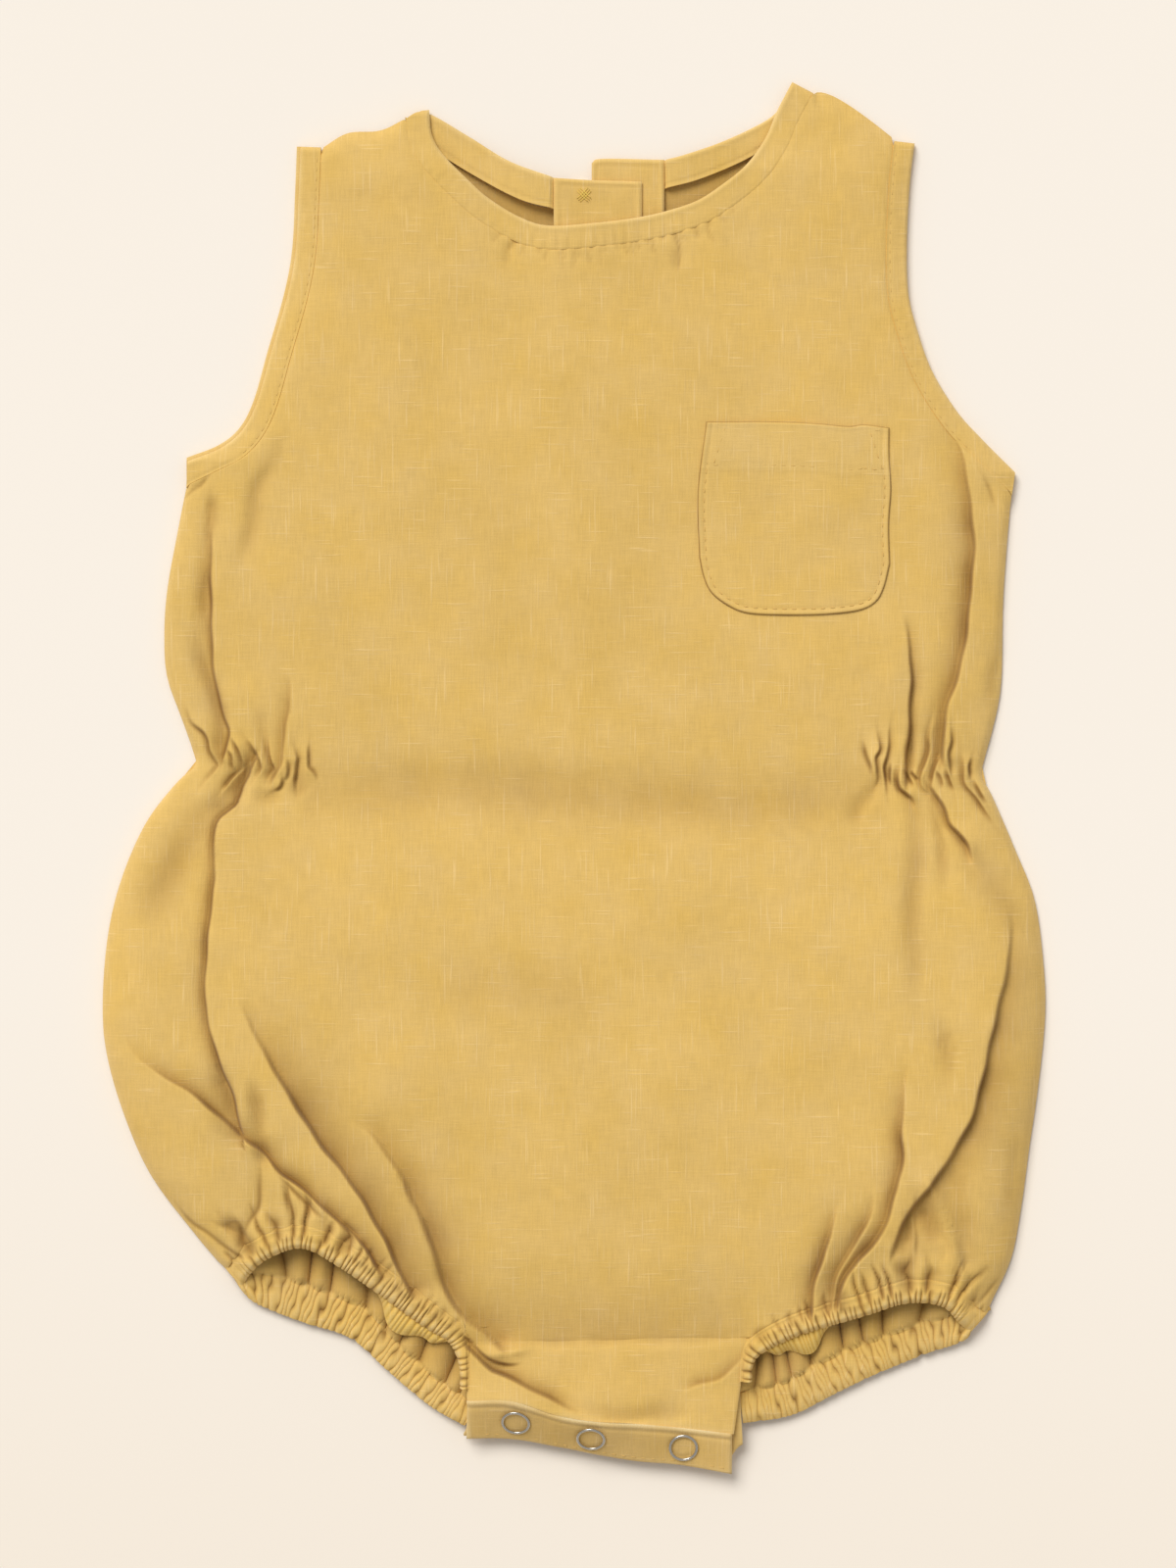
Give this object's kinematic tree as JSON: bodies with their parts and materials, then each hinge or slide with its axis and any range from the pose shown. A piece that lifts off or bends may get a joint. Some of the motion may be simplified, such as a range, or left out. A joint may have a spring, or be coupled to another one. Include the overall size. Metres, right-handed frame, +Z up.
{
  "type": "baby romper",
  "caption": "Sleeveless bubble romper of slubby linen laid flat, with a chest pocket, gathered waist sides, gathered leg openings and a snapped crotch.",
  "frame": {"origin": "on the surface the romper lies on, under the middle of its outline", "axes": "+Y from the crotch to the neck, +Z up from the surface, +X to the right as seen from above with the neck at the top, which is the wearer's left"},
  "size_m": [0.2988, 0.4398, 0.0137],
  "materials": {
    "linen": "mustard yellow slubby linen and cotton weave, washed, matt",
    "snap_metal": "nickel plated, satin",
    "button_resin": "semi matt resin"
  },
  "bodies": {
    "root": {"front_panel": "linen", "back_panel": "linen", "front_neck_band": "linen", "back_neck_band_left": "linen", "back_neck_band_right": "linen", "button_tab_inner": "linen", "button_tab_outer": "linen", "front_armhole_band_left": "linen", "front_armhole_band_right": "linen", "back_armhole_band_left": "linen", "back_armhole_band_right": "linen", "chest_pocket": "linen", "leg_casing_left": "linen", "leg_casing_right": "linen", "front_crotch_tab": "linen", "snap_band": "linen", "back_crotch_tab": "linen", "snap_front_ring_1": "snap_metal", "snap_front_ring_2": "snap_metal", "snap_front_ring_3": "snap_metal", "snap_back_ring_1": "snap_metal", "snap_back_ring_2": "snap_metal", "snap_back_ring_3": "snap_metal", "snap_stud_1": "snap_metal", "snap_stud_2": "snap_metal", "snap_stud_3": "snap_metal", "neck_button": "button_resin", "neck_button_loop": "linen"}
  },
  "joints": []
}
